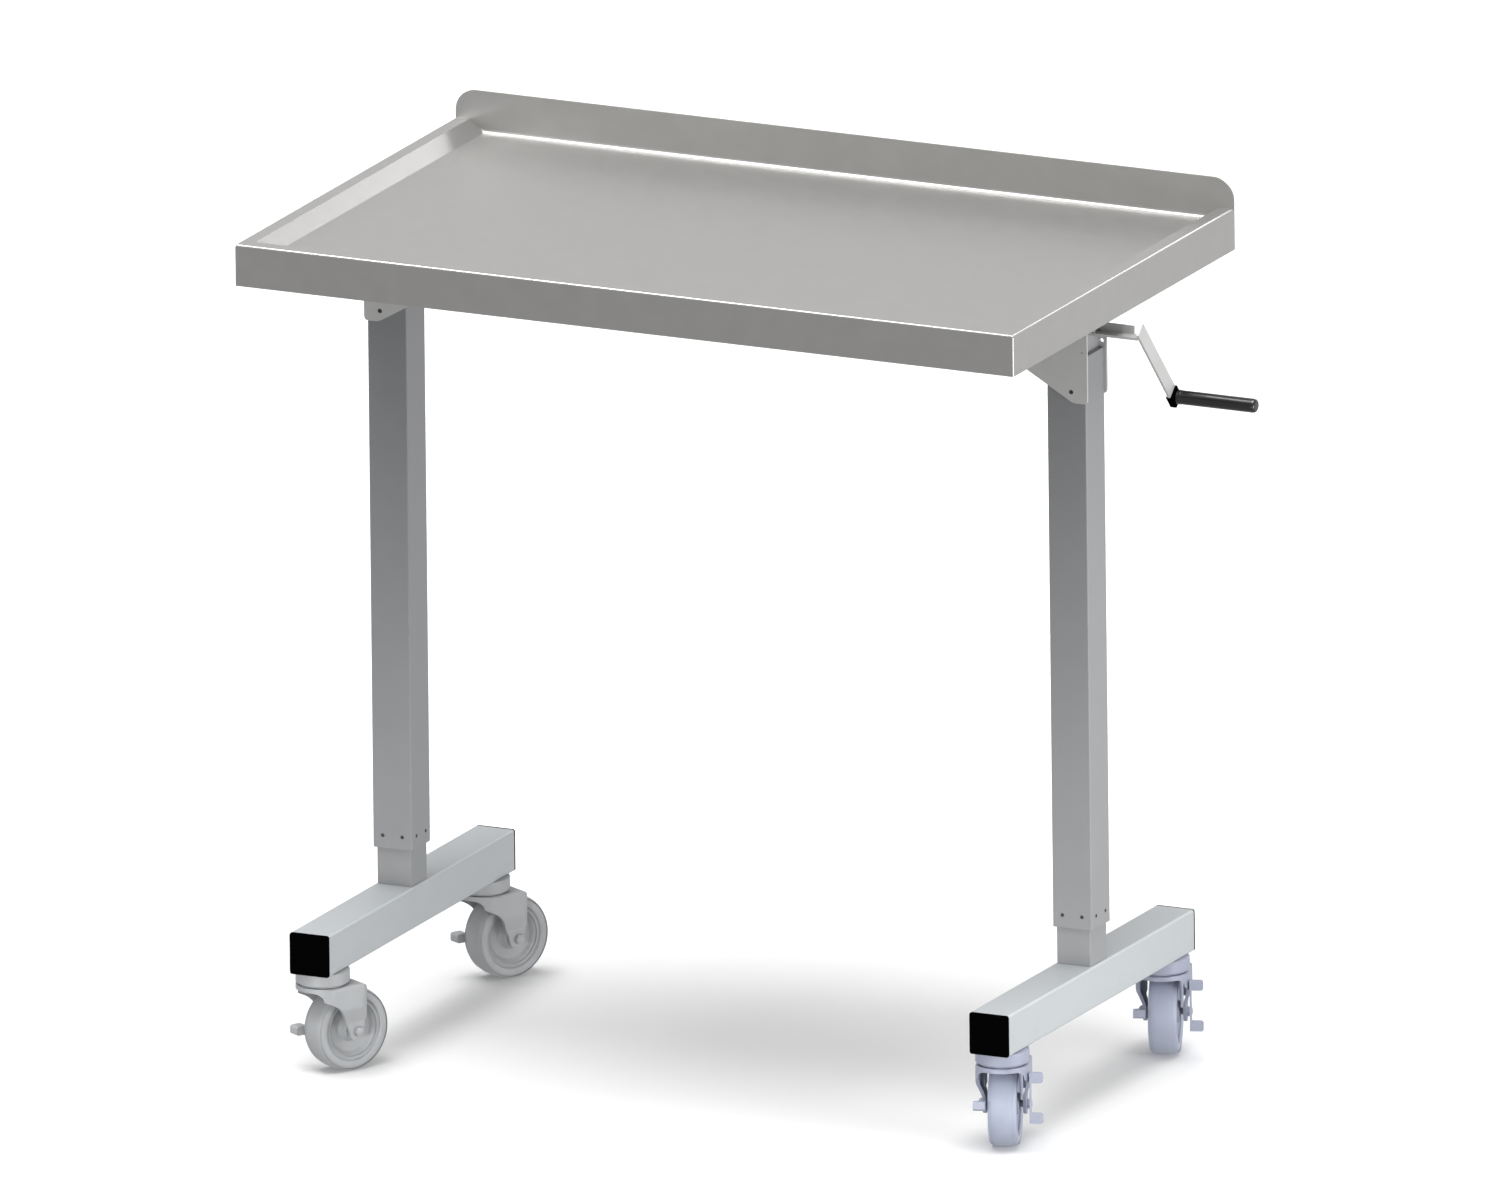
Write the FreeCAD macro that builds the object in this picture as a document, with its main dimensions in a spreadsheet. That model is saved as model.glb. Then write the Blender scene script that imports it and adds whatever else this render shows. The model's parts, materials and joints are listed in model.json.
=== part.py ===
import FreeCAD, Part

import math
import os
import re

from FreeCAD import Placement, Rotation, Vector

# Height-adjustable instrument cart. Z is up, X runs along the tray, -Y is the front.
# The origin is on the floor, under the middle of the whole cart, crank included.

doc = FreeCAD.newDocument("instrument_cart")
os.makedirs("parts", exist_ok=True)

X_AXIS, Y_AXIS, Z_AXIS = Vector(1, 0, 0), Vector(0, 1, 0), Vector(0, 0, 1)

# ---------------------------------------------------------------- driving dimensions, mm and degrees

DIMENSIONS = {
    # tray, one folded stainless sheet
    "tray_length": 1000, "tray_depth": 600, "rim_top": 1012, "skirt_height": 50,
    "sheet_thick": 1.5, "rim_width": 18, "slope_run": 20, "pan_depth": 15, "wall_shift": 0.5,
    "splash_rise": 35, "splash_corner": 26, "rim_round": 3, "corner_round": 2, "bend_round": 5,
    # support rails and head brackets
    "rail_length": 860, "rail_wide": 40, "rail_tall": 20, "rail_wall": 1.5, "rail_offset": 100,
    "plate_thick": 4, "plate_wide": 80, "plate_span": 250, "gusset_thick": 3,
    "gusset_end": 28, "gusset_toe": 9.5, "gusset_low": 855, "gusset_slope": 30,
    "screw_radius": 2.5, "screw_inset": 7.5, "screw_level": 868,
    "hole_inset": 22, "hole_level": 918.4, "bolt_radius": 4, "bolt_play": 0.2,
    "bolt_head": 6.5, "bolt_head_tall": 5, "bolt_long": 14,
    # telescopic columns
    "column_offset": 436.6, "outer_size": 50, "outer_wall": 2, "outer_low": 220, "outer_top": 911,
    "inner_size": 43.6, "inner_wall": 2, "inner_top": 880,
    "sleeve_size": 45.8, "sleeve_bore": 43.9, "sleeve_low": 222, "sleeve_tall": 40,
    "glide_radius": 2.2, "glide_spread": 12.5, "glide_level": 235, "glide_proud": 0.4,
    # lifting drive
    "drive_level": 939.5, "shaft_radius": 6, "run_play": 0.05, "spindle_radius": 8,
    "spindle_low": 450, "spindle_neck": 5, "nut_size": 39.5, "nut_tall": 20, "nut_low": 858,
    "box_inner": 25, "box_outer": 19, "box_wide": 49.6, "box_floor": 905, "box_low": 885,
    "box_top": 961, "plug_size": 45.6, "box_wall": 3,
    "gear_teeth": 16, "gear_radius": 14, "gear_face": 6, "gear_bore": 5, "gear_hub": 9,
    "gear_hub_long": 4, "tooth_up": 1.5, "tooth_down": 2, "tooth_half": 1.1, "tooth_lean": 20,
    # crank
    "crank_start": 457, "crank_plane": 521, "crank_thick": 3, "crank_wide": 18, "crank_rise": 9.5,
    "crank_gap": 12, "crank_hub": 8.5, "crank_hub_long": 9, "arm_length": 128, "arm_angle": 41,
    "boss_size": 19, "boss_thick": 8, "grip_radius": 8.7, "grip_start": 528, "grip_end": 629,
    "grip_round": 3, "pin_radius": 4, "pin_collar": 5.5, "pin_collar_at": 592,
    # feet
    "foot_length": 500, "foot_size": 50, "foot_wall": 2.5, "foot_round": 3, "cap_thick": 3,
    "cap_plug": 15, "caster_height": 125, "caster_offset": 217, "stud_radius": 6,
    # casters
    "wheel_radius": 50, "wheel_width": 34, "tyre_bore": 33, "tyre_round": 8, "trail": 32,
    "head_radius": 31.7, "head_tall": 15, "groove_radius": 28, "king_radius": 6, "king_head": 9,
    "fork_top": 108, "fork_half": 31.5, "fork_back": 48, "fork_under": 102.5, "web_low": 72, "web_thick": 6,
    "axle_radius": 4, "nut_radius": 6,
    "hub_radius": 11, "core_width": 28, "left_turn": -30, "right_turn": 20,
    "left_pedal_up": 0, "right_pedal_up": 13,
    # brake pedal and swivel lock, pressed sheet
    "pedal_at": 19.5, "pedal_thick": 1.6, "pedal_eye": 9, "tongue_wide": 14, "tongue_long": 16, "tongue_tall": 11,
    "lock_at": 33.2, "lock_thick": 2, "lock_level": 89, "ear_wide": 16, "ear_thick": 2.5, "ear_tall": 13,
    "press_round": 3,
}

sheet = doc.addObject("Spreadsheet::Sheet", "dims")
for row, (alias, number) in enumerate(DIMENSIONS.items(), 1):
    sheet.set(f"A{row}", alias)
    sheet.set(f"B{row}", str(number))
    sheet.setAlias(f"B{row}", alias)
doc.recompute()


def bound(text):
    """An expression in which each dimension's name points at its cell."""
    def to_cell(word):
        return f"dims.{word[0]}" if word[0] in DIMENSIONS else word[0]

    return re.sub(r"[a-z][a-z_]+", to_cell, str(text))


def value(text):
    """The number that an expression has now."""
    return float(sheet.evalExpression(bound(text)))


# ---------------------------------------------------------------- building blocks

names = set()


def unused(name):
    """A document name that no object has yet."""
    number = 1
    while f"{name}_{number}" in names:
        number += 1
    names.add(f"{name}_{number}")
    return f"{name}_{number}"


def bind(item, **sizes):
    for prop, text in sizes.items():
        item.setExpression(prop, bound(text))
    return item


def place(item, x="0", y="0", z="0", axis=Z_AXIS, angle=0):
    item.Placement = Placement(Vector(0, 0, 0), Rotation(axis, angle))
    for letter, text in zip("xyz", (x, y, z)):
        item.setExpression(f"Placement.Base.{letter}", bound(text))
    return item


def block(length, width, height, x="0", y="0", z="0"):
    """A box centred on x and y, standing on z."""
    item = doc.addObject("Part::Box", unused("block"))
    bind(item, Length=length, Width=width, Height=height)
    return place(item, f"{x} - ({length}) / 2", f"{y} - ({width}) / 2", z)


def rod(radius, length, along, x="0", y="0", z="0"):
    """A cylinder that starts at x, y, z and runs along +X, +Y or +Z."""
    item = doc.addObject("Part::Cylinder", unused("rod"))
    bind(item, Radius=radius, Height=length)
    axis, angle = {"x": (Y_AXIS, 90), "y": (X_AXIS, -90), "z": (Z_AXIS, 0)}[along]
    return place(item, x, y, z, axis, angle)


def fuse(*items):
    item = doc.addObject("Part::MultiFuse", unused("fuse"))
    item.Shapes = list(items)
    return item


def common(*items):
    item = doc.addObject("Part::MultiCommon", unused("common"))
    item.Shapes = list(items)
    return item


def cut(base, *tools):
    item = doc.addObject("Part::Cut", unused("cut"))
    item.Base = base
    item.Tool = tools[0] if len(tools) == 1 else fuse(*tools)
    return item


def group(*items):
    """Separate solids kept together as one sub-part."""
    item = doc.addObject("Part::Compound", unused("group"))
    item.Links = list(items)
    return item


def rounded(base, radius, wanted):
    """Fillets the edges for which wanted(edge) is true."""
    doc.recompute()
    item = doc.addObject("Part::Fillet", unused("fillet"))
    item.Base = base
    size = value(radius)
    item.Edges = [(i, size, size) for i, edge in enumerate(base.Shape.Edges, 1) if wanted(edge)]
    assert item.Edges, "no edge to round"
    return item


def runs_along(edge, axis):
    """True for a straight edge parallel to an axis."""
    if not isinstance(edge.Curve, (Part.Line, Part.LineSegment)):
        return False
    return abs(abs(edge.tangentAt(edge.FirstParameter).dot(axis)) - 1) < 1e-6


def outline(corners):
    """Lines through corners (x, y, radius), with a tangent arc where the radius isn't 0."""
    points = [(Vector(value(x), value(y), 0), value(radius)) for x, y, radius in corners]
    starts, ends, arcs = [], [], []
    for i, (corner, radius) in enumerate(points):
        to_last = (points[i - 1][0] - corner).normalize()
        to_next = (points[(i + 1) % len(points)][0] - corner).normalize()
        half = to_last.getAngle(to_next) / 2
        reach = radius / math.tan(half)
        ends.append(corner + to_last * reach)
        starts.append(corner + to_next * reach)
        if radius:
            middle = (to_last + to_next).normalize() * (radius / math.sin(half) - radius)
            arcs.append(Part.Arc(ends[i], corner + middle, starts[i]))
    lines = []
    for i in range(len(points)):
        finish = ends[(i + 1) % len(points)]
        if (finish - starts[i]).Length > 1e-6:
            lines.append(Part.LineSegment(starts[i], finish))
    return lines + arcs


def prism(plane, corners, depth):
    """A PartDesign body: an outline padded by depth, half to each side of one of its origin planes."""
    body = doc.addObject("PartDesign::Body", unused("body"))
    sketch = body.newObject("Sketcher::SketchObject", unused("sketch"))
    sketch.AttachmentSupport = [(f, "") for f in body.Origin.OriginFeatures if f.Role == plane]
    sketch.MapMode = "FlatFace"
    sketch.addGeometry(outline(corners), False)
    pad = body.newObject("PartDesign::Pad", unused("pad"))
    pad.Profile = sketch
    pad.Midplane = True
    bind(pad, Length=depth)
    body.Tip = pad
    return body


def square_tube(size, wall, length, corner, along="z"):
    """A square tube on its own axis, from 0 along Z, or centred along Y."""
    dims = {"z": (size, size, length), "y": (size, length, size)}[along]
    inner = f"({size}) - 2 * ({wall})"
    bore = {"z": (inner, inner, length), "y": (inner, length, inner)}[along]
    axis = {"z": Z_AXIS, "y": Y_AXIS}[along]
    skin = rounded(block(*dims), corner, lambda edge: runs_along(edge, axis))
    return cut(skin, block(*bore, z="0" if along == "z" else wall))


# ---------------------------------------------------------------- sub-parts

nodes = []

# The tray's middle stands this far from the middle of the whole cart, because the crank sticks out.
TABLE_X = "(tray_length / 2 - grip_end) / 2"
SIDES = {"left": -1, "right": 1}


def node(label, item, x="0", y="0", z="0", axis=Z_AXIS, angle=0):
    """Names a sub-part and puts it in its place, x measured from the tray's middle."""
    item.Label = label
    place(item, f"{TABLE_X} + {x}", y, z, axis, angle)
    nodes.append(item)
    return item


def side_node(label, side, item, z="0"):
    """Puts a sub-part on a column's axis. Its own +X points away from the tray's middle."""
    sign = SIDES[side]
    return node(f"{label}_{side}", item, f"{sign} * column_offset", z=z, angle=0 if sign > 0 else 180)


# tray

def pan_cutter(inset, drop_low, drop_high, back_gap):
    """A tapered block as deep as the pan, wider at its top. Its back face is upright."""
    item = doc.addObject("Part::Wedge", unused("pan"))
    low = f"({inset}) + slope_run"
    bind(item, Xmin=f"-tray_length / 2 + {low}", Xmax=f"tray_length / 2 - ({low})",
         X2min=f"-tray_length / 2 + {inset}", X2max=f"tray_length / 2 - ({inset})",
         Zmin=f"-tray_depth / 2 + {back_gap}", Zmax=f"tray_depth / 2 - ({low})",
         Z2min=f"-tray_depth / 2 + {back_gap}", Z2max=f"tray_depth / 2 - ({inset})",
         Ymin=drop_low, Ymax=drop_high)
    return place(item, z="rim_top", axis=X_AXIS, angle=90)


def make_tray():
    half = value("tray_length / 2")
    front = -value("tray_depth / 2")
    top = value("rim_top")

    def rim_edge(edge):
        middle = edge.CenterOfMass
        if abs(middle.z - top) > 1e-6:
            return False
        return abs(abs(middle.x) - half) < 1e-6 or abs(middle.y - front) < 1e-6

    def front_corner(edge):
        return runs_along(edge, Z_AXIS) and abs(edge.CenterOfMass.y - front) < 1e-6

    def splash_corner(edge):
        return runs_along(edge, Y_AXIS) and edge.CenterOfMass.z > top

    skirt_low = "rim_top - skirt_height"
    outer = block("tray_length", "tray_depth", "skirt_height", z=skirt_low)
    outer = rounded(rounded(outer, "corner_round", front_corner), "rim_round", rim_edge)
    splash = block("tray_length", "sheet_thick", "skirt_height + splash_rise",
                   y="tray_depth / 2 - sheet_thick / 2", z=skirt_low)
    splash = rounded(splash, "splash_corner", splash_corner)
    pan = pan_cutter("rim_width", "-pan_depth", "0", "sheet_thick")
    floor = value("rim_top - pan_depth")
    doc.recompute()
    pan = rounded(pan, "bend_round", lambda edge: abs(edge.CenterOfMass.z - floor) < 1e-6)
    inner_length = "tray_length - 2 * sheet_thick"
    inner_depth = "tray_depth - 2 * sheet_thick"
    hollow = block(inner_length, inner_depth, "skirt_height - sheet_thick", z=skirt_low)
    under_pan = pan_cutter("rim_width - wall_shift", "-pan_depth - sheet_thick", "-sheet_thick",
                           "sheet_thick")
    return node("tray", fuse(cut(outer, pan, cut(hollow, under_pan)), splash))


# head frame under the tray

FLOOR_UNDER = "rim_top - pan_depth - sheet_thick"
PLATE_TOP = f"{FLOOR_UNDER} - rail_tall"
PLATE_UNDER = f"{PLATE_TOP} - plate_thick"
BOLT_ACROSS = 12


def make_rail(label, sign):
    skin = block("rail_length", "rail_wide", "rail_tall")
    bore = block("rail_length", "rail_wide - 2 * rail_wall", "rail_tall - 2 * rail_wall", z="rail_wall")
    holes = [rod("bolt_radius + bolt_play", "2 * rail_wall", "z", f"{end} * column_offset + {step}",
                 z="-rail_wall / 2") for end in (-1, 1) for step in (-BOLT_ACROSS, BOLT_ACROSS)]
    return node(label, cut(skin, bore, *holes), y=f"{sign} * rail_offset", z=PLATE_TOP)


def make_bracket(side):
    """Two gusset plates that hold the column's head, under a top plate that carries the rails."""
    low_inner = "gusset_end - gusset_toe - 9"
    slope = math.tan(math.radians(value("gusset_slope")))
    reach = value(f"{PLATE_UNDER} - gusset_low") / slope
    corners = [("gusset_end", PLATE_UNDER, 0), ("gusset_end", "gusset_low", 5),
               (low_inner, "gusset_low", 15), (f"{low_inner} - {reach}", PLATE_UNDER, 0)]
    gussets = prism("XZ_Plane", corners, "outer_size + 2 * gusset_thick")
    gap = block("3 * rail_length", "outer_size", "rim_top")
    shelf = block(f"gusset_end - ({low_inner}) + {reach}", "outer_size + 2 * gusset_thick", "plate_thick",
                  x=f"(gusset_end + {low_inner} - {reach}) / 2", z=PLATE_UNDER)
    cross = block("plate_wide / 2 + gusset_end", "plate_span", "plate_thick",
                  x="gusset_end / 2 - plate_wide / 4", z=PLATE_UNDER)
    across = "outer_size + 4 * gusset_thick"
    half_across = f"-({across}) / 2"
    screws = rod("screw_radius", across, "y", "screw_inset", half_across, "screw_level")
    holes = rod("screw_radius", across, "y", "hole_inset", half_across, "hole_level")
    bolts = [rod("bolt_radius + bolt_play", "2 * plate_thick", "z", step, f"{end} * rail_offset",
                 f"{PLATE_UNDER} - plate_thick / 2")
             for end in (-1, 1) for step in (-BOLT_ACROSS, BOLT_ACROSS)]
    solid = fuse(cut(gussets, gap), shelf, cross)
    return side_node("head_bracket", side, cut(solid, screws, holes, *bolts))


def make_rail_bolts():
    bolts = []
    for end in (-1, 1):
        for row in (-1, 1):
            for step in (-BOLT_ACROSS, BOLT_ACROSS):
                at = {"x": f"{end} * column_offset + {step}", "y": f"{row} * rail_offset"}
                head = rod("bolt_head", "bolt_head_tall", "z", z=f"{PLATE_UNDER} - bolt_head_tall", **at)
                shank = rod("bolt_radius", "bolt_long", "z", z=PLATE_UNDER, **at)
                bolts.append(fuse(head, shank))
    return node("rail_bolts", group(*bolts))


def make_bracket_screws():
    """Screws that hold the gusset plates to the column heads, their ends just proud of the plates."""
    screws = []
    for end in (-1, 1):
        for face in (-1, 1):
            depth = "gusset_thick + outer_wall + 0.5"
            middle = "outer_size / 2 - outer_wall / 2 + gusset_thick / 2 + 0.25"
            screws.append(rod("screw_radius - 0.1", depth, "y", f"{end} * (column_offset + screw_inset)",
                              f"{face} * ({middle}) - ({depth}) / 2", "screw_level"))
    return node("bracket_screws", group(*screws))


# telescopic columns

def make_outer_tube(side):
    tube = square_tube("outer_size", "outer_wall", "outer_top - outer_low", 1.5)
    level = "screw_level - outer_low"
    screws = rod("screw_radius", "2 * outer_size", "y", "screw_inset", "-outer_size", level)
    holes = glide_rods("glide_radius + 0.05", "2 * outer_wall", "glide_level - outer_low")
    return side_node("column_tube_outer", side, cut(tube, screws, *holes), z="outer_low")


def glide_rods(radius, depth, level, proud="outer_wall / 2"):
    """Eight short rods, two through each wall of the outer tube."""
    rods = []
    for step in (-1, 1):
        spread = f"{step} * glide_spread"
        near = f"outer_size / 2 + {proud} - ({depth})"
        far = f"-outer_size / 2 - ({proud})"
        rods.append(rod(radius, depth, "y", spread, near, level))
        rods.append(rod(radius, depth, "y", spread, far, level))
        rods.append(rod(radius, depth, "x", near, spread, level))
        rods.append(rod(radius, depth, "x", far, spread, level))
    return rods


def make_glide_screws():
    """The screws that keep both glide sleeves in the outer tubes."""
    both = []
    for sign in (-1, 1):
        column = group(*glide_rods("glide_radius", "outer_wall + 0.5", "glide_level", proud="glide_proud"))
        both.append(place(column, f"{sign} * column_offset"))
    return node("glide_screws", group(*both))


def make_glide_sleeve(side):
    skin = block("sleeve_size", "sleeve_size", "sleeve_tall")
    holes = glide_rods("glide_radius + 0.05", "3 * outer_wall", "glide_level - sleeve_low")
    bored = cut(skin, block("sleeve_bore", "sleeve_bore", "sleeve_tall"), *holes)
    return side_node("glide_sleeve", side, bored, z="sleeve_low")


FOOT_TOP = "caster_height + foot_size"


def make_inner_tube(side):
    tube = square_tube("inner_size", "inner_wall", f"inner_top - ({FOOT_TOP})", 1.5)
    return side_node("column_tube_inner", side, tube, z=FOOT_TOP)


# lifting drive

def make_gear_box(side):
    """A block in the column's head that carries the spindle below and the cross shaft above."""
    plug = block("plug_size", "plug_size", "outer_top - box_low", z="box_low")
    wide = "box_inner + box_outer"
    middle = "(box_outer - box_inner) / 2"
    body = block(wide, "box_wide", "box_top - outer_top", x=middle, z="outer_top")
    room = block(f"{wide} - 2 * box_wall", "2 * box_wide", "box_top - box_wall - outer_top",
                 x=middle, z="outer_top")
    pit = rod("gear_radius + 4", "outer_top - box_floor", "z", z="box_floor")
    spindle = rod("spindle_radius + run_play", "outer_size", "z", z="box_low - 1")
    shaft = rod("shaft_radius + run_play", "2 * outer_size", "x", "-outer_size", z="drive_level")
    return side_node("gearbox_housing", side, cut(fuse(plug, body), room, pit, spindle, shaft))


def make_spindle(side):
    screw = rod("spindle_radius", "box_floor + 3 - spindle_low", "z", z="spindle_low")
    neck = rod("spindle_neck", "drive_level - box_floor - 13", "z", z="box_floor + 3")
    return side_node("spindle", side, fuse(screw, neck))


def make_spindle_nut(side):
    bore = rod("spindle_radius + run_play", "nut_tall", "z", z="nut_low")
    return side_node("spindle_nut", side, cut(block("nut_size", "nut_size", "nut_tall", z="nut_low"), bore))


def mitre_gear(half_pitch):
    """A 45 degree bevel gear. Its cone's apex is at 0, 0, 0 and its heel is below, along -Z.

    half_pitch is 0 or 1: with 1, the teeth are turned by half a tooth, so that two gears mesh.
    """
    pitch = value("gear_radius")
    toe = 1 - value("gear_face") / (pitch * math.sqrt(2))
    up, down = value("tooth_up") / math.sqrt(2), value("tooth_down") / math.sqrt(2)
    lean = math.tan(math.radians(value("tooth_lean")))
    half = value("tooth_half")
    hub_low = -(pitch + down) - value("gear_hub_long")
    bore, hub = value("gear_bore"), value("gear_hub")
    profile = [(bore, hub_low), (hub, hub_low), (hub, -(pitch + down)), (pitch - down, -(pitch + down)),
               ((pitch - down) * toe, -(pitch + down) * toe), (bore, -(pitch + down) * toe)]
    ring = [Vector(radius, 0, level) for radius, level in profile]
    blank = Part.Face(Part.makePolygon(ring + ring[:1])).revolve(Vector(0, 0, 0), Z_AXIS, 360)
    root = down + 0.4
    foot_half = half + down * lean * math.sqrt(2)
    tip_half = half - up * lean * math.sqrt(2)
    foot_at = (pitch - root, -(pitch + root))
    tip_at = (pitch + up, -(pitch - up))
    heel = [Vector(foot_at[0], -foot_half, foot_at[1]), Vector(foot_at[0], foot_half, foot_at[1]),
            Vector(tip_at[0], tip_half, tip_at[1]), Vector(tip_at[0], -tip_half, tip_at[1])]
    wires = [Part.makePolygon([p * scale for p in heel + heel[:1]]) for scale in (1, toe)]
    tooth = Part.makeLoft(wires, True, True)
    step = 360 / value("gear_teeth")
    teeth = []
    for i in range(int(value("gear_teeth"))):
        turned = tooth.copy()
        turned.rotate(Vector(0, 0, 0), Z_AXIS, (i + half_pitch / 2) * step)
        teeth.append(turned)
    return blank.multiFuse(teeth).removeSplitter()


def feature(shape):
    item = doc.addObject("Part::Feature", unused("gear"))
    item.Shape = shape
    return item


def make_gears(side):
    sign = SIDES[side]
    at = f"{sign} * column_offset"
    node(f"spindle_bevel_{side}", feature(mitre_gear(0)), at, z="drive_level")
    bored = mitre_gear(1).cut(Part.makeCylinder(value("shaft_radius"), 60, Vector(0, 0, -30)))
    node(f"drive_bevel_{side}", feature(bored), at, z="drive_level", axis=Y_AXIS, angle=90 * sign)


def make_cross_shaft():
    start = "-column_offset - box_outer + 1"
    shaft = rod("shaft_radius", f"crank_start + crank_hub_long - ({start})", "x", start)
    return node("cross_shaft", group(shaft), z="drive_level")


# crank, built with its axis along X through 0, 0, 0

def make_crank():
    foot = "-crank_thick - shaft_radius / 2"
    run = "crank_plane - crank_start"
    shelf = block(run, "crank_wide", "crank_thick", x=f"crank_start + ({run}) / 2", z=foot)
    wall_run = f"{run} - crank_gap"
    wall = block(wall_run, "crank_thick", "crank_thick + crank_rise", x=f"crank_start + ({wall_run}) / 2",
                 y="(crank_wide - crank_thick) / 2", z=foot)
    hub = rod("crank_hub", "crank_hub_long", "x", "crank_start")
    arm = block("crank_thick", "crank_wide", "arm_length + crank_wide", x="crank_plane + crank_thick / 2",
                z="-arm_length - crank_wide / 2")
    turned = group(arm)
    place(turned, axis=X_AXIS, angle=value("arm_angle"))
    shaft = rod("shaft_radius", "2 * crank_hub_long", "x", "crank_start - crank_hub_long")
    return node("crank_handle", cut(fuse(shelf, wall, hub, turned), shaft), z="drive_level")


GRIP_Y = "arm_length * sin(arm_angle * 1 deg)"
GRIP_Z = "drive_level - arm_length * cos(arm_angle * 1 deg)"


def make_boss():
    """The black shoe on the arm's lower end, which the grip's pin is fixed in."""
    middle = "crank_plane + crank_thick / 2"
    shoe = block("boss_thick", "boss_size", "boss_size", x=middle, z="-boss_size / 2")
    arm = block("crank_thick", "crank_wide", "boss_size", x=middle, z="-crank_wide / 2")
    pin = rod("pin_radius", "boss_thick + 2", "x", "crank_plane")
    shaped = cut(shoe, arm, pin)
    return node("crank_boss", shaped, y=GRIP_Y, z=GRIP_Z, axis=X_AXIS, angle=value("arm_angle"))


def make_pin():
    start = "crank_plane + crank_thick"
    pin = rod("pin_radius", f"pin_collar_at + 8 - ({start})", "x", start)
    collar = rod("pin_collar", "3", "x", "pin_collar_at")
    return node("grip_pin", fuse(pin, collar), y=GRIP_Y, z=GRIP_Z)


def make_grip():
    skin = rod("grip_radius", "grip_end - grip_start", "x", "grip_start")
    end = value("grip_end")
    skin = rounded(skin, "grip_round", lambda edge: abs(edge.CenterOfMass.x - end) < 1e-6)
    bore = rod("pin_radius + run_play", "pin_collar_at + 9 - grip_start", "x", "grip_start")
    groove = rod("pin_collar + 0.3", "3.6", "x", "pin_collar_at - 0.3")
    return node("crank_grip", cut(skin, bore, groove), y=GRIP_Y, z=GRIP_Z)


# feet

def make_foot(side):
    tube = square_tube("foot_size", "foot_wall", "foot_length", "foot_round", along="y")
    studs = [rod("stud_radius + 0.1", "2 * foot_wall", "z", y=f"{end} * caster_offset", z="-foot_wall / 2")
             for end in (-1, 1)]
    return side_node("foot_tube", side, cut(tube, *studs), z="caster_height")


def make_caps(side):
    caps = []
    for end in (-1, 1):
        face = block("foot_size", "cap_thick", "foot_size", y=f"{end} * (foot_length + cap_thick) / 2")
        face = rounded(face, "foot_round", lambda edge: runs_along(edge, Y_AXIS))
        plug_size = "foot_size - 2 * foot_wall - 0.2"
        plug = block(plug_size, "cap_plug", plug_size, y=f"{end} * (foot_length - cap_plug) / 2",
                     z="foot_wall + 0.1")
        caps.append(fuse(face, plug))
    return side_node("foot_caps", side, group(*caps), z="caster_height")


# casters, built on the swivel axis with the wheel trailing towards +Y

ENDS = {"front": -1, "rear": 1}
CASTERS = {f"{side}_{end}": (side, sign) for side in SIDES for end, sign in ENDS.items()}


def caster_node(label, caster, item, turned=True):
    side, end = CASTERS[caster]
    angle = value(f"{side}_turn") if turned else 0
    return node(f"{label}_{caster}", item, f"{SIDES[side]} * column_offset", f"{end} * caster_offset",
                angle=angle)


def make_head(caster):
    """The ring under the foot, with its stud above and the king pin below."""
    ring = rod("head_radius", "head_tall", "z", z="caster_height - head_tall")
    low = value("caster_height - head_tall")
    ring = rounded(ring, 2, lambda edge: abs(edge.CenterOfMass.z - low) < 1e-6 and edge.Length > 50)
    neck = rod("groove_radius", "head_tall", "z", z="fork_top + 0.3")
    king = rod("king_radius", "caster_height - fork_under + 2", "z", z="fork_under - 2")
    rivet = rod("king_head", "3.5", "z", z="fork_under - 3.8")
    stud = rod("stud_radius", "stud_radius * 3", "z", z="caster_height - 1")
    return caster_node("caster_head", caster, fuse(ring, neck, king, rivet, stud), turned=False)


LEG_CORNERS = [("-fork_half", "fork_top", 4), ("fork_back", "fork_top", 14), ("fork_back - 2", "84", 30),
               ("trail + 9.5", "62", 40), ("trail + 9.5", "39", 9), ("trail - 9", "39", 8),
               ("trail - 13", "54", 30), ("6", "82", 36), ("-fork_half", "99", 0)]
FRONT_CORNERS = [("-fork_half", "fork_top", 5), ("fork_half", "fork_top", 5), ("fork_half", "80", 12),
                 ("25.5", "62", 12), ("25.5", "30", 0), ("21.5", "30", 0), ("21.5", "62", 12),
                 ("27", "80", 12), ("27", "fork_under", 9), ("-27", "fork_under", 9), ("-27", "80", 12),
                 ("-21.5", "62", 12), ("-21.5", "30", 0), ("-25.5", "30", 0), ("-25.5", "62", 12),
                 ("-fork_half", "80", 12)]
PLAN_CORNERS = [("-fork_half", "-fork_half", 31), ("fork_half", "-fork_half", 31),
                ("fork_half", "fork_back", 16), ("-fork_half", "fork_back", 16)]


def make_fork(caster):
    """What side view, front view and plan have in common, with webs that thicken the legs at the back."""
    legs = prism("YZ_Plane", LEG_CORNERS, "2 * fork_half")
    front = prism("XZ_Plane", FRONT_CORNERS, "6 * fork_half")
    plan = prism("XY_Plane", PLAN_CORNERS, "2 * caster_height")
    webs = [block("web_thick", "fork_back - 20", "fork_under + 1 - web_low",
                  f"{sign} * (22 + web_thick / 2)", "(fork_back + 20) / 2", "web_low") for sign in (-1, 1)]
    front = fuse(front, *webs)
    king = rod("king_radius + run_play", "wheel_radius", "z", z="2 * wheel_radius - 10")
    axle = rod("axle_radius", "4 * fork_half", "x", "-2 * fork_half", "trail", "wheel_radius")
    return caster_node("caster_fork", caster, cut(common(legs, front, plan), king, axle))


def make_axle(caster):
    shank = rod("axle_radius", "60", "x", "-30", "trail", "wheel_radius")
    cap = rod("nut_radius", "6", "x", "-31.7", "trail", "wheel_radius")
    nut = rod("nut_radius", "6", "x", "25.7", "trail", "wheel_radius")
    return caster_node("caster_axle", caster, fuse(shank, cap, nut))


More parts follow.
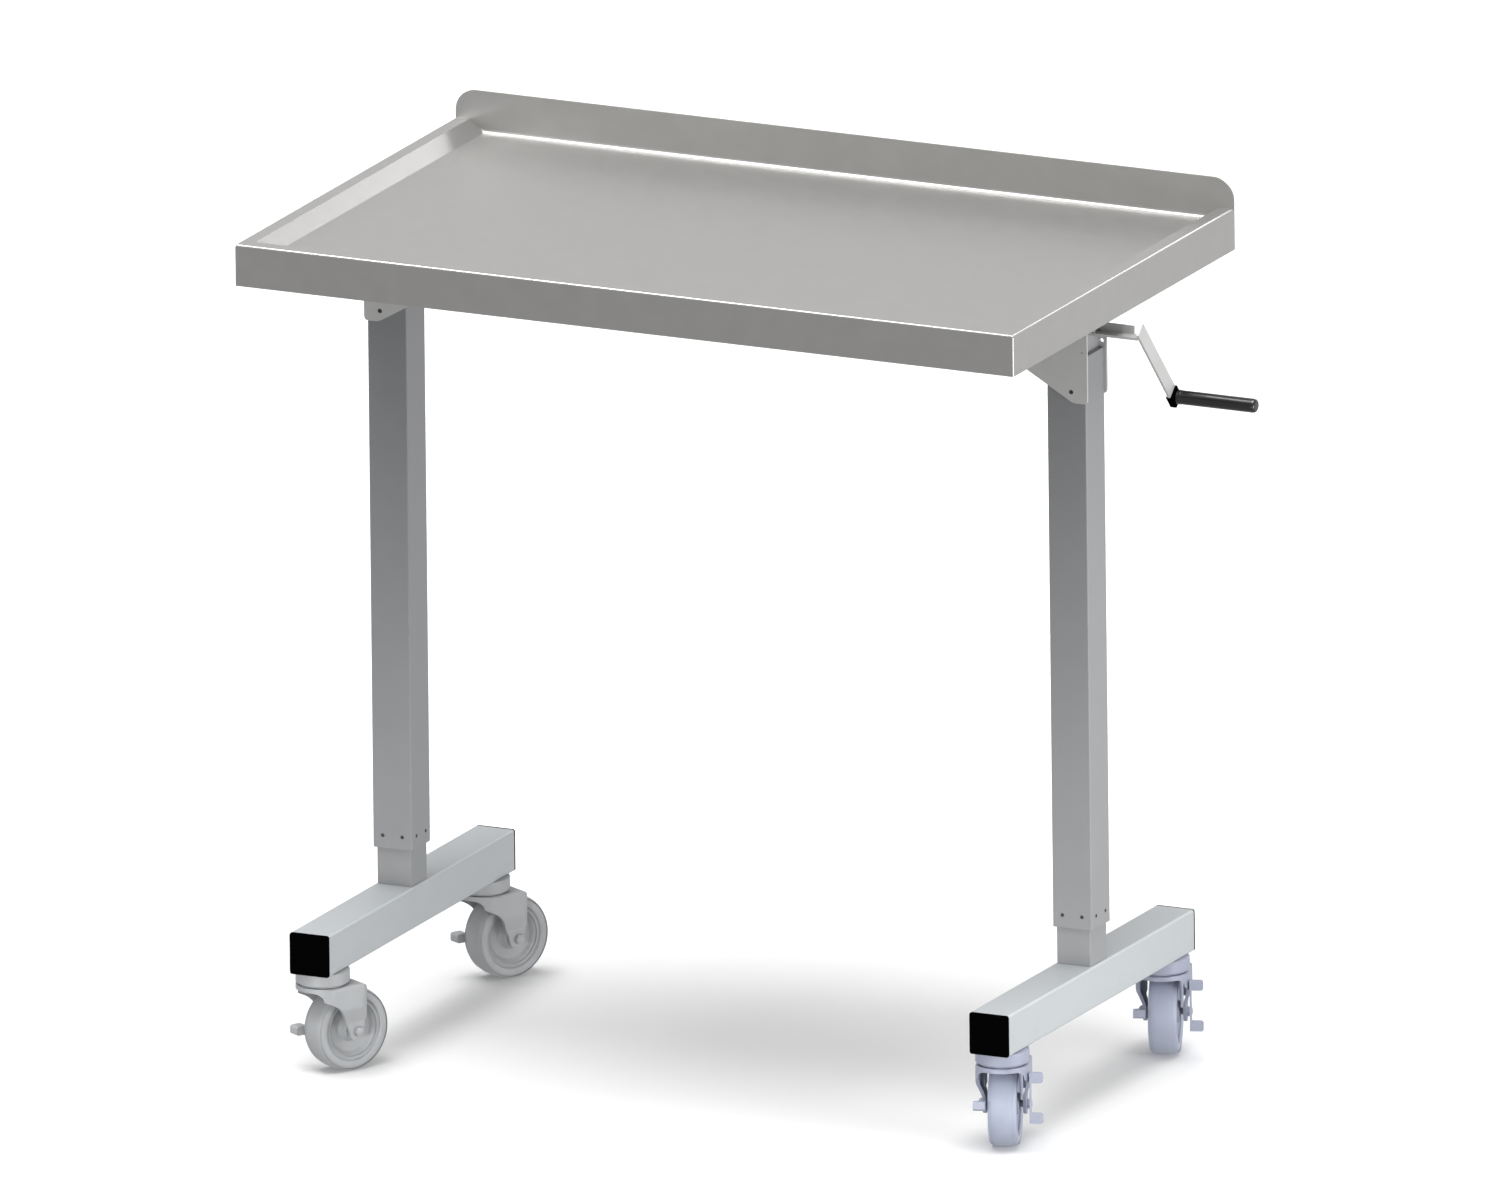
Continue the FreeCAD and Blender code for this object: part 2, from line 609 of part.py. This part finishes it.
def make_core(caster):
    half = "-wheel_width / 2"
    core_half = "-core_width / 2"
    disc = rod("tyre_bore", "core_width", "x", core_half)
    hub = rod("hub_radius", "wheel_width", "x", half)
    recesses = []
    for start in ("core_width / 2 - 8", f"{core_half} - 1"):
        ring = cut(rod("tyre_bore - 5", "9", "x", start), rod("hub_radius", "9", "x", start))
        recesses.append(ring)
    bore = rod("axle_radius + run_play", "2 * wheel_width", "x", "-wheel_width")
    core = place(cut(fuse(cut(disc, *recesses), hub), bore), y="trail", z="wheel_radius")
    return caster_node("wheel_core", caster, group(core))


def make_tyre(caster):
    skin = rod("wheel_radius", "wheel_width", "x", "-wheel_width / 2", "trail", "wheel_radius")
    skin = rounded(skin, "tyre_round", lambda edge: abs(edge.CenterOfMass.x) > 1)
    bore = rod("tyre_bore", "wheel_width", "x", "-wheel_width / 2", "trail", "wheel_radius")
    return caster_node("wheel_tyre", caster, cut(skin, bore))


def make_pedal(caster):
    """A lever on the axle, inside the fork's inner leg, whose tongue reaches out in front."""
    eye = rod("pedal_eye", "pedal_thick", "x", "-pedal_at - pedal_thick / 2")
    arm = block("pedal_thick", "46", "pedal_eye", "-pedal_at", "-23", "-pedal_eye / 2")
    tongue = block("tongue_wide", "tongue_long", "tongue_tall", "-pedal_at - 6.5", "-48", "4 - tongue_tall")
    tongue = rounded(tongue, "press_round", lambda edge: runs_along(edge, X_AXIS))
    bore = rod("axle_radius + run_play", "20", "x", "-pedal_at - 10")
    lever = cut(fuse(eye, arm, tongue), bore)
    tilt = "right_pedal_up" if caster.startswith("right") else "left_pedal_up"
    place(lever, y="trail", z="wheel_radius", axis=X_AXIS, angle=-value(tilt))
    return caster_node("brake_pedal", caster, group(lever))


def make_swivel_lock(caster):
    """A rocker on the fork's outer leg, with two ears to press."""
    plate = block("lock_thick", "24", "10", "lock_at", "0", "lock_level - 5")
    stem = block("lock_thick", "7", "60", "lock_at", "-9", "38")
    ears = [block("ear_wide", "ear_thick", "ear_tall", "lock_at + 7", "-11.2", low) for low in ("38", "87")]
    ears = [rounded(ear, "press_round", lambda edge: runs_along(edge, Y_AXIS)) for ear in ears]
    bore = rod("screw_radius + run_play", "10", "x", "lock_at - 5", "6", "lock_level")
    return caster_node("swivel_lock", caster, cut(fuse(plate, stem, *ears), bore))


make_tray()
make_rail("support_rail_front", -1)
make_rail("support_rail_rear", 1)
make_rail_bolts()
make_bracket_screws()
make_glide_screws()
for side in SIDES:
    make_bracket(side)
    make_outer_tube(side)
    make_glide_sleeve(side)
    make_inner_tube(side)
    make_gear_box(side)
    make_spindle(side)
    make_spindle_nut(side)
    make_gears(side)
    make_foot(side)
    make_caps(side)
make_cross_shaft()
make_crank()
make_boss()
make_pin()
make_grip()
for caster in CASTERS:
    make_head(caster)
    make_fork(caster)
    make_axle(caster)
    make_core(caster)
    make_tyre(caster)
    make_pedal(caster)
    if caster.startswith("right"):
        make_swivel_lock(caster)

# ---------------------------------------------------------------- checks and export

doc.recompute()
for item in doc.Objects:
    assert not {"Invalid", "Error"} & set(item.State), f"{item.Name} {item.State}"
for item in nodes:
    assert not item.Shape.isNull() and item.Shape.isValid(), f"{item.Label} has a bad shape"
for item in nodes:
    item.Shape.exportStep(f"parts/{item.Label}.step")
    print(f"{item.Label:28s} solids {len(item.Shape.Solids):2d} volume {item.Shape.Volume / 1000:9.2f} cm3")
print(len(nodes), "nodes")
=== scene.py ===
import json
import math

import bmesh
import bpy
from mathutils import Matrix, Vector


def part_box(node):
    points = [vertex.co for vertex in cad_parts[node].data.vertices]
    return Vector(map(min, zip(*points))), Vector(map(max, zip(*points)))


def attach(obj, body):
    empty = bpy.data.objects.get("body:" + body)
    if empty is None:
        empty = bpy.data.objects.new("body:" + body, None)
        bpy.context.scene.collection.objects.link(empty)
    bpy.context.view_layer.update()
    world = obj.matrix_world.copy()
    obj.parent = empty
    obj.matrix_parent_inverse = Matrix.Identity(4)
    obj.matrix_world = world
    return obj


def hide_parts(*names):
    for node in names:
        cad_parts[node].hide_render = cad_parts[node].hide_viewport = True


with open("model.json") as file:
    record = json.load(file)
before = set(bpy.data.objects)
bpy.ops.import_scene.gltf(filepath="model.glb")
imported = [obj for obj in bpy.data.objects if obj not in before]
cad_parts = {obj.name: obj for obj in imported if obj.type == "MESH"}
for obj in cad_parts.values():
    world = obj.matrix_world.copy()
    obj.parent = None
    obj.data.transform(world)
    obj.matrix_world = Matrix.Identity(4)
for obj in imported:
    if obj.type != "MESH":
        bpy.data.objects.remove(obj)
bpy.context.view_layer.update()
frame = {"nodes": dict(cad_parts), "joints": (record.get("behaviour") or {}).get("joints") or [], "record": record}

# Instrument cart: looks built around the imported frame. Z is up and -Y is the front. Lengths are in metres,
# except the lathe's and the hexagon's, which are in millimetres.

MM = 0.001
NODES = frame["nodes"]
JOINTS = {joint["name"]: joint for joint in frame["joints"]}
BODIES = frame["record"]["behaviour"]["bodies"]
BODY_OF = {node: body for body, members in BODIES.items() for node in members}
SIDES = ("left", "right")
CASTERS = [f"{side}_{end}" for side in SIDES for end in ("front", "rear")]
scene = bpy.context.scene


# ---------------------------------------------------------------- camera, light and floor

CAMERA_TURN = math.radians(25.55)
CAMERA_RISE = math.radians(15.59)
CAMERA_ROLL = math.radians(0.62)
CAMERA_AIM = Vector((-0.0957, 0.0959, 0.5334))
CAMERA_SPAN = 1.741
CAMERA_AWAY = 6.0


def make_camera():
    right = Vector((math.cos(CAMERA_TURN), math.sin(CAMERA_TURN), 0))
    level_back = Vector((math.sin(CAMERA_TURN), -math.cos(CAMERA_TURN), 0))
    back = level_back * math.cos(CAMERA_RISE) + Vector((0, 0, math.sin(CAMERA_RISE)))
    up = back.cross(right)
    tilted_right = right * math.cos(CAMERA_ROLL) - up * math.sin(CAMERA_ROLL)
    tilted_up = right * math.sin(CAMERA_ROLL) + up * math.cos(CAMERA_ROLL)
    data = bpy.data.cameras.new("camera")
    data.type = "ORTHO"
    data.ortho_scale = CAMERA_SPAN
    data.clip_end = 100
    camera = bpy.data.objects.new("camera", data)
    scene.collection.objects.link(camera)
    turn = Matrix((tilted_right, tilted_up, back)).transposed().to_4x4()
    camera.matrix_world = Matrix.Translation(CAMERA_AIM + back * CAMERA_AWAY) @ turn
    scene.camera = camera


def area_light(name, place, aim, size, power):
    data = bpy.data.lights.new(name, "AREA")
    data.shape = "RECTANGLE"
    data.size, data.size_y = size
    data.energy = power
    light = bpy.data.objects.new(name, data)
    scene.collection.objects.link(light)
    light.location = place
    light.rotation_euler = (Vector(place) - Vector(aim)).to_track_quat("Z", "Y").to_euler()
    return light


SKY_BASE = 0.60
SKY_TILT = (0.13, 0.13, 0.0)

OVERHEAD_FROM = (-0.03, -0.14, 1)
OVERHEAD_POWER = 3.5
OVERHEAD_WIDTH = math.radians(46)

# Name, place, aim, size, power and spread in degrees.
SOFTBOXES = (
    ("right_softbox", (1.9, -0.35, 0.45), (-0.06, 0, 0.38), (1.0, 0.8), 5.5, 85),
    ("low_front", (-0.1, -1.9, 0.12), (-0.06, 0, 0.02), (1.6, 0.3), 3.4, 50),
)

# Name, place, size and power of the lights that only show as bright lines on the steel's bends.
GLINTS = (
    ("front_glint", (-1.2, -0.75, 3.4), (0.8, 0.7), 26),
    ("side_glint", (0.7, 3.2, 2.4), (1.4, 0.8), 17),
    ("corner_glint", (-1.0, -0.3, 1.12), (0.2, 0.15), 1.8),
)
GLINT_AIM = (-0.06, 0, 0.6)

FLOOR_SIZE = 30
FLOOR_WHITE = (0.82, 0.82, 0.82, 1)


def make_sky():
    """A studio surround that is brighter to the right and behind."""
    world = bpy.data.worlds.new("studio")
    scene.world = world
    world.use_nodes = True
    nodes, links = world.node_tree.nodes, world.node_tree.links
    direction = nodes.new("ShaderNodeTexCoord")
    tilt = nodes.new("ShaderNodeVectorMath")
    tilt.operation = "DOT_PRODUCT"
    tilt.inputs[1].default_value = SKY_TILT
    links.new(direction.outputs["Generated"], tilt.inputs[0])
    tone = nodes.new("ShaderNodeMath")
    tone.operation = "ADD"
    tone.inputs[1].default_value = SKY_BASE
    links.new(tilt.outputs["Value"], tone.inputs[0])
    links.new(tone.outputs["Value"], nodes["Background"].inputs["Color"])


def make_overhead():
    """Wide, even light from above, for the soft shadow under the tray."""
    data = bpy.data.lights.new("overhead", "SUN")
    data.energy = OVERHEAD_POWER
    data.angle = OVERHEAD_WIDTH
    overhead = bpy.data.objects.new("overhead", data)
    scene.collection.objects.link(overhead)
    overhead.rotation_euler = Vector(OVERHEAD_FROM).to_track_quat("Z", "Y").to_euler()


def make_lights():
    make_sky()
    make_overhead()
    for name, place, aim, size, power, spread in SOFTBOXES:
        softbox = area_light(name, place, aim, size, power)
        softbox.data.spread = math.radians(spread)
    for name, place, size, power in GLINTS:
        glint = area_light(name, place, GLINT_AIM, size, power)
        glint.visible_diffuse = False
    scene.view_settings.view_transform = "Standard"
    scene.view_settings.look = "None"


def make_floor():
    bpy.ops.mesh.primitive_plane_add(size=FLOOR_SIZE)
    floor = bpy.context.object
    floor.name = "floor"
    material = bpy.data.materials.new("floor_white")
    material.use_nodes = True
    shader = material.node_tree.nodes["Principled BSDF"]
    shader.inputs["Base Color"].default_value = FLOOR_WHITE
    shader.inputs["Roughness"].default_value = 1.0
    shader.inputs["Specular IOR Level"].default_value = 0.0
    floor.data.materials.append(material)
    floor.visible_diffuse = False
    floor.visible_glossy = False


# ---------------------------------------------------------------- materials

GRAIN_DEPTH = 0.2 * MM
MOTTLE_DETAIL = 5
GRAIN_DETAIL = 3


def surface(name, colour, roughness, metallic=0.0, specular=0.5, coat=0.0, mottle=0.05, mottle_size=30,
            grain=0.0, grain_stretch=(1, 1, 1), grain_size=400, rough_change=0.08):
    """A procedural finish: soft colour mottling, changing roughness and a fine grain in the bump."""
    material = bpy.data.materials.new(name)
    material.use_nodes = True
    nodes, links = material.node_tree.nodes, material.node_tree.links
    shader = nodes["Principled BSDF"]
    shader.inputs["Metallic"].default_value = metallic
    shader.inputs["Specular IOR Level"].default_value = specular
    shader.inputs["Coat Weight"].default_value = coat
    place = nodes.new("ShaderNodeTexCoord")
    spread = nodes.new("ShaderNodeTexNoise")
    spread.inputs["Scale"].default_value = mottle_size
    spread.inputs["Detail"].default_value = MOTTLE_DETAIL
    links.new(place.outputs["Object"], spread.inputs["Vector"])
    tones = nodes.new("ShaderNodeValToRGB")
    tones.color_ramp.elements[0].position = 0.3
    tones.color_ramp.elements[1].position = 0.7
    tones.color_ramp.elements[0].color = [c * (1 - mottle) for c in colour] + [1]
    tones.color_ramp.elements[1].color = [min(c * (1 + mottle), 1) for c in colour] + [1]
    links.new(spread.outputs["Fac"], tones.inputs["Fac"])
    links.new(tones.outputs["Color"], shader.inputs["Base Color"])
    range_node = nodes.new("ShaderNodeMapRange")
    range_node.inputs["To Min"].default_value = max(roughness - rough_change, 0.02)
    range_node.inputs["To Max"].default_value = min(roughness + rough_change, 1)
    links.new(spread.outputs["Fac"], range_node.inputs["Value"])
    links.new(range_node.outputs["Result"], shader.inputs["Roughness"])
    if grain:
        stretch = nodes.new("ShaderNodeMapping")
        stretch.inputs["Scale"].default_value = grain_stretch
        fine = nodes.new("ShaderNodeTexNoise")
        fine.inputs["Scale"].default_value = grain_size
        fine.inputs["Detail"].default_value = GRAIN_DETAIL
        bump = nodes.new("ShaderNodeBump")
        bump.inputs["Strength"].default_value = grain
        bump.inputs["Distance"].default_value = GRAIN_DEPTH
        links.new(place.outputs["Object"], stretch.inputs["Vector"])
        links.new(stretch.outputs["Vector"], fine.inputs["Vector"])
        links.new(fine.outputs["Fac"], bump.inputs["Height"])
        links.new(bump.outputs["Normal"], shader.inputs["Normal"])
    return material


FINISH = {
    "tray_steel": surface("tray_steel", (0.475, 0.47, 0.46), 0.33, metallic=0.8, mottle=0.02, mottle_size=45,
                          grain=0.18, grain_size=1400, rough_change=0.03),
    "frame_steel": surface("frame_steel", (0.56, 0.56, 0.555), 0.45, metallic=0.3, mottle=0.03, grain=0.15,
                           grain_size=900),
    # Painted shade: the columns wear the same paint as the feet, but column_grey is made darker to stand in for
    # the shade under the tray.
    "column_grey": surface("column_grey", (0.245, 0.249, 0.257), 0.42, mottle=0.02, grain=0.12,
                           grain_size=1200),
    # Painted light: foot_grey is the columns' paint made lighter, for the overhead light on the tops of the feet.
    "foot_grey": surface("foot_grey", (0.42, 0.443, 0.457), 0.42, mottle=0.02, grain=0.12, grain_size=1200),
    "zinc": surface("zinc", (0.19, 0.19, 0.187), 0.35, metallic=0.9, mottle=0.08, mottle_size=120),
    "dark_screw": surface("dark_screw", (0.045, 0.045, 0.045), 0.4, metallic=0.4, mottle=0.1,
                          mottle_size=200),
    "drive_steel": surface("drive_steel", (0.45, 0.45, 0.46), 0.3, metallic=0.95, mottle=0.05, grain=0.2,
                           grain_stretch=(20, 1, 1)),
    "housing_cast": surface("housing_cast", (0.40, 0.40, 0.41), 0.55, metallic=0.6, mottle=0.06, grain=0.5,
                            grain_size=700),
    "bronze": surface("bronze", (0.50, 0.33, 0.14), 0.35, metallic=0.9, mottle=0.08, mottle_size=80),
    "slide_plastic": surface("slide_plastic", (0.72, 0.72, 0.69), 0.5, mottle=0.02, grain=0.1),
    "black_plastic": surface("black_plastic", (0.001, 0.001, 0.001), 0.8, specular=0.0, mottle=0.15,
                             grain=0.3, grain_size=1500),
    "grip_black": surface("grip_black", (0.008, 0.008, 0.008), 0.2, coat=0.3, mottle=0.2, mottle_size=60),
    "caster_grey": surface("caster_grey", (0.34, 0.35, 0.36), 0.45, mottle=0.04, grain=0.2, grain_size=900),
    "caster_pale": surface("caster_pale", (0.29, 0.31, 0.39), 0.45, mottle=0.04, grain=0.2, grain_size=900),
    "tyre_grey": surface("tyre_grey", (0.33, 0.34, 0.35), 0.55, mottle=0.05, grain=0.25, grain_size=900),
    "tyre_pale": surface("tyre_pale", (0.34, 0.37, 0.46), 0.55, mottle=0.05, grain=0.25, grain_size=900),
}
SLOT_OF = {entry["node"]: entry["material_slot"] for entry in frame["record"]["subparts"]}


def paint(piece, slot):
    piece.data.materials.clear()
    piece.data.materials.append(FINISH[slot])


for name, node in NODES.items():
    paint(node, SLOT_OF[name])


# ---------------------------------------------------------------- mesh helpers

WELD = 1e-6
FLAT = math.radians(0.5)
SKIN_SMOOTH = 60
LATHE_SMOOTH = 35


def add_piece(name, mesh, slot, body, *replaced):
    piece = bpy.data.objects.new(name, mesh)
    scene.collection.objects.link(piece)
    paint(piece, slot)
    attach(piece, body)
    if replaced:
        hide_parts(*replaced)
    return piece


def softened(node, width, segments=3, angle=25):
    """The node's own shape with its sharp edges eased by a small round."""
    bm = bmesh.new()
    bm.from_mesh(NODES[node].data)
    bmesh.ops.remove_doubles(bm, verts=bm.verts, dist=WELD)
    bmesh.ops.dissolve_limit(bm, angle_limit=FLAT, verts=bm.verts, edges=bm.edges)
    mesh = bpy.data.meshes.new(node + "_eased")
    bm.to_mesh(mesh)
    bm.free()
    rough = bpy.data.objects.new(node + "_rough", mesh)
    scene.collection.objects.link(rough)
    bevel = rough.modifiers.new("bevel", "BEVEL")
    bevel.width = width
    bevel.segments = segments
    bevel.limit_method = "ANGLE"
    bevel.angle_limit = math.radians(angle)
    bevel.use_clamp_overlap = True
    weigh = rough.modifiers.new("weigh", "WEIGHTED_NORMAL")
    weigh.weight = 100
    weigh.keep_sharp = True
    smooth_by_angle(mesh, SKIN_SMOOTH)
    view = bpy.context.evaluated_depsgraph_get()
    eased = bpy.data.meshes.new_from_object(rough.evaluated_get(view))
    bpy.data.objects.remove(rough)
    return add_piece(node + "_skin", eased, SLOT_OF[node], BODY_OF[node], node)


def smooth_by_angle(mesh, angle):
    """Smooth faces, with the edges that turn by more than angle degrees kept sharp."""
    for face in mesh.polygons:
        face.use_smooth = True
    mesh.set_sharp_from_angle(angle=math.radians(angle))


def rounded_line(corners, steps=5):
    """The (x, r) points of a polyline given as (x, r, radius), with its corners rounded but not its ends."""
    points = [Vector(corners[0][:2])]
    for i in range(1, len(corners) - 1):
        before = Vector(corners[i - 1][:2])
        corner = Vector(corners[i][:2])
        after = Vector(corners[i + 1][:2])
        radius = corners[i][2]
        if not radius:
            points.append(corner)
            continue
        to_last, to_next = (before - corner).normalized(), (after - corner).normalized()
        half = to_last.angle(to_next) / 2
        reach = radius / math.tan(half)
        centre = corner + (to_last + to_next).normalized() * radius / math.sin(half)
        start = corner + to_last * reach - centre
        finish = corner + to_next * reach - centre
        for step in range(steps + 1):
            share = step / steps
            arm = (start * (1 - share) + finish * share).normalized() * radius
            points.append(centre + arm)
    points.append(Vector(corners[-1][:2]))
    return [tuple(point) for point in points]


def lathe(name, line, turn, segments=96):
    """A mesh turned about its own X from (x, r) points in mm, then moved by turn.

    An end that lies on the axis is closed.
    """
    bm = bmesh.new()
    rings = []
    for x, radius in line:
        if radius == 0:
            rings.append([bm.verts.new((x * MM, 0, 0))])
            continue
        ring = []
        for i in range(segments):
            angle = 2 * math.pi * i / segments
            ring.append(bm.verts.new((x * MM, radius * MM * math.cos(angle), radius * MM * math.sin(angle))))
        rings.append(ring)
    for low, high in zip(rings, rings[1:]):
        for i in range(segments):
            j = (i + 1) % segments
            corners = [low[i % len(low)], low[j % len(low)], high[j % len(high)], high[i % len(high)]]
            # At a closed end two corners are one vertex, and the face is a triangle.
            bm.faces.new(dict.fromkeys(corners))
    bmesh.ops.recalc_face_normals(bm, faces=bm.faces)
    bmesh.ops.transform(bm, matrix=turn, verts=bm.verts)
    mesh = bpy.data.meshes.new(name)
    bm.to_mesh(mesh)
    bm.free()
    smooth_by_angle(mesh, LATHE_SMOOTH)
    return mesh


def joint_turn(name):
    """The matrix that puts a piece made about its own X on a joint's axis."""
    joint = JOINTS[name]
    axis = Vector(joint["axis"])
    turn = Vector((1, 0, 0)).rotation_difference(axis).to_matrix().to_4x4()
    return Matrix.Translation(Vector(joint["pos_m"])) @ turn


# ---------------------------------------------------------------- casters

def tyre_line():
    """Half a tread's section: slightly crowned, with a rounded shoulder and a bead at its foot."""
    corners = [(0, 50, 0), (11, 49.7, 30), (16.9, 47, 7), (17, 38.5, 2), (15.6, 37.2, 0.8), (14, 37, 0.4),
               (14, 33, 0)]
    return rounded_line(corners)


def core_line():
    """Half a wheel centre: hub boss, dished web and rim."""
    corners = [(9.5, 33, 0), (14.9, 33.4, 0.5), (15.2, 36.6, 0.8), (13.4, 33.5, 1.5), (11.8, 31, 1.5),
               (8, 27.5, 3), (7, 15, 3), (16.2, 12.6, 1.2), (17, 11, 0.8), (17, 6, 0.5), (13, 4.2, 0)]
    return rounded_line(corners)


def tone_of(caster):
    """The left casters are plain grey, and the right ones a bluer grey."""
    return "grey" if caster.startswith("left") else "pale"


def make_wheel(caster):
    tone = tone_of(caster)
    turn = joint_turn(f"wheel_spin_{caster}")
    half = tyre_line()
    section = half[::-1] + [(-x, radius) for x, radius in half[1:]] + half[-1:]
    tread = lathe(f"tread_{caster}", section, turn)
    add_piece(f"tread_{caster}", tread, f"tyre_{tone}", f"wheel_{caster}", f"wheel_tyre_{caster}")
    side = core_line()
    loop = side + [(-x, r) for x, r in reversed(side)] + side[:1]
    centre = lathe(f"wheel_centre_{caster}", loop, turn)
    add_piece(f"wheel_centre_{caster}", centre, f"caster_{tone}", f"wheel_{caster}", f"wheel_core_{caster}")


def hexagon(name, across, low, high, turn, chamfer=0.8):
    """A hexagonal nut along its own X with chamfered corners, in mm."""
    bm = bmesh.new()
    reach = across / math.sqrt(3)
    rise = chamfer * 0.6
    sections = [(low, reach - chamfer), (low + rise, reach), (high - rise, reach), (high, reach - chamfer)]
    corners = [(math.cos(i * math.pi / 3), math.sin(i * math.pi / 3)) for i in range(6)]
    rings = []
    for x, radius in sections:
        rings.append([bm.verts.new(Vector((x, radius * y, radius * z)) * MM) for y, z in corners])
    for a, b in zip(rings, rings[1:]):
        for i in range(6):
            bm.faces.new((a[i], a[(i + 1) % 6], b[(i + 1) % 6], b[i]))
    bm.faces.new(rings[0][::-1])
    bm.faces.new(rings[-1])
    bmesh.ops.recalc_face_normals(bm, faces=bm.faces)
    bmesh.ops.transform(bm, matrix=turn, verts=bm.verts)
    mesh = bpy.data.meshes.new(name)
    bm.to_mesh(mesh)
    bm.free()
    return mesh


def join_meshes(name, meshes):
    """One mesh that holds them all."""
    bm = bmesh.new()
    for mesh in meshes:
        bm.from_mesh(mesh)
    joined = bpy.data.meshes.new(name)
    bm.to_mesh(joined)
    bm.free()
    smooth_by_angle(joined, LATHE_SMOOTH)
    return joined


def make_axle(caster):
    """A bolt through the fork: domed head on one side, nut and a rounded stub on the other."""
    turn = joint_turn(f"wheel_spin_{caster}")
    head = [(-31.6, 0, 0), (-31.4, 3, 1), (-29.5, 5.9, 2), (-25.6, 5.9, 0.3), (-25.6, 4, 0.2),
            (31.2, 3.98, 1), (31.6, 0, 0)]
    bolt = lathe("bolt", rounded_line(head), turn, segments=48)
    nut = hexagon("nut", 10.2, 26.2, 30.6, turn)
    washer = lathe("washer", [(25.6, 4), (25.6, 5.9), (26.2, 5.9), (26.2, 4), (25.6, 4)], turn, segments=48)
    mesh = join_meshes("axle_bolt", [bolt, nut, washer])
    slot = f"caster_{tone_of(caster)}"
    add_piece(f"axle_bolt_{caster}", mesh, slot, f"fork_{caster}", f"caster_axle_{caster}")


for caster in CASTERS:
    make_wheel(caster)
    make_axle(caster)
    softened(f"caster_fork_{caster}", 0.9 * MM, angle=40)
    softened(f"caster_head_{caster}", 0.5 * MM, angle=40)
    softened(f"brake_pedal_{caster}", 0.6 * MM)
    if caster.startswith("right"):
        softened(f"swivel_lock_{caster}", 0.6 * MM)


# ---------------------------------------------------------------- frame, tray and crank

for side in SIDES:
    softened(f"foot_tube_{side}", 0.3 * MM, segments=2)
    softened(f"foot_caps_{side}", 0.8 * MM)
    softened(f"column_tube_outer_{side}", 0.3 * MM, segments=2)
    softened(f"column_tube_inner_{side}", 0.3 * MM, segments=2)
    softened(f"head_bracket_{side}", 0.4 * MM, segments=2)
softened("tray", 0.35 * MM, segments=2)
softened("crank_handle", 0.5 * MM)
softened("crank_boss", 1.2 * MM)


def make_grip():
    """The black tube grip: a shallow collar at its root and a rounded end."""
    low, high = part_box("crank_grip")
    joint = JOINTS["grip_spin"]
    length = (high.x - low.x) / MM
    radius = (high.z - low.z) / 2 / MM
    corners = [(0, 4.1, 0), (0, radius, 1.0), (5, radius, 0.5), (5.6, radius - 0.35, 0.3),
               (length - 4, radius - 0.35, 4), (length - 1.2, radius - 0.9, 2), (length, radius - 3, 2),
               (length, 0, 0)]
    turn = Matrix.Translation(Vector((low.x, joint["pos_m"][1], joint["pos_m"][2])))
    mesh = lathe("grip", rounded_line(corners), turn)
    add_piece("grip_tube", mesh, "grip_black", BODY_OF["crank_grip"], "crank_grip")


make_grip()


# ---------------------------------------------------------------- small details

# In millimetres.
GLIDE_HEAD_RADIUS = 2.15
GLIDE_HEAD_DEPTH = 0.35


def screw_heads(name, places, radius, depth, slot, body, replaced):
    """Button heads with a round socket, each facing along its direction."""
    meshes = []
    for place, direction in places:
        swing = Vector((1, 0, 0)).rotation_difference(direction).to_matrix().to_4x4()
        turn = Matrix.Translation(place) @ swing
        line = [(-2.5, 0, 0), (-2.5, radius * 0.8, 0), (-0.2, radius, 0.1), (depth * 0.5, radius, 0.15),
                (depth, radius * 0.72, 0.2), (depth, radius * 0.5, 0), (depth - 0.9, radius * 0.46, 0),
                (depth - 0.9, 0, 0)]
        meshes.append(lathe("head", rounded_line(line, steps=2), turn, segments=24))
    return add_piece(name, join_meshes(name, meshes), slot, body, replaced)


def loose_parts(node):
    """The middle of each separate piece of a node's mesh, from left to right."""
    bm = bmesh.new()
    bm.from_mesh(NODES[node].data)
    bmesh.ops.remove_doubles(bm, verts=bm.verts, dist=WELD)
    left = set(bm.verts)
    middles = []
    while left:
        patch = [left.pop()]
        members = []
        while patch:
            vert = patch.pop()
            members.append(vert.co.copy())
            for edge in vert.link_edges:
                other = edge.other_vert(vert)
                if other in left:
                    left.remove(other)
                    patch.append(other)
        low = Vector([min(v[i] for v in members) for i in range(3)])
        high = Vector([max(v[i] for v in members) for i in range(3)])
        middles.append((low + high) / 2)
    bm.free()
    return sorted(middles, key=tuple)


def make_glide_heads():
    """A small head on the outer tube for each screw that holds a glide pad."""
    places = []
    for foot in loose_parts("glide_screws"):
        side = "left" if foot.x < 0 else "right"
        tube_low, tube_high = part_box(f"column_tube_outer_{side}")
        axis = (tube_low + tube_high) / 2
        reach = (tube_high.x - tube_low.x) / 2
        away = foot - axis
        if abs(away.x) > abs(away.y):
            direction = Vector((math.copysign(1, away.x), 0, 0))
            foot.x = axis.x + direction.x * reach
        else:
            direction = Vector((0, math.copysign(1, away.y), 0))
            foot.y = axis.y + direction.y * reach
        places.append((foot, direction))
    screw_heads("glide_heads", places, GLIDE_HEAD_RADIUS, GLIDE_HEAD_DEPTH, "dark_screw", "top",
                "glide_screws")


make_glide_heads()


# ---------------------------------------------------------------- finish

make_camera()
make_lights()
make_floor()
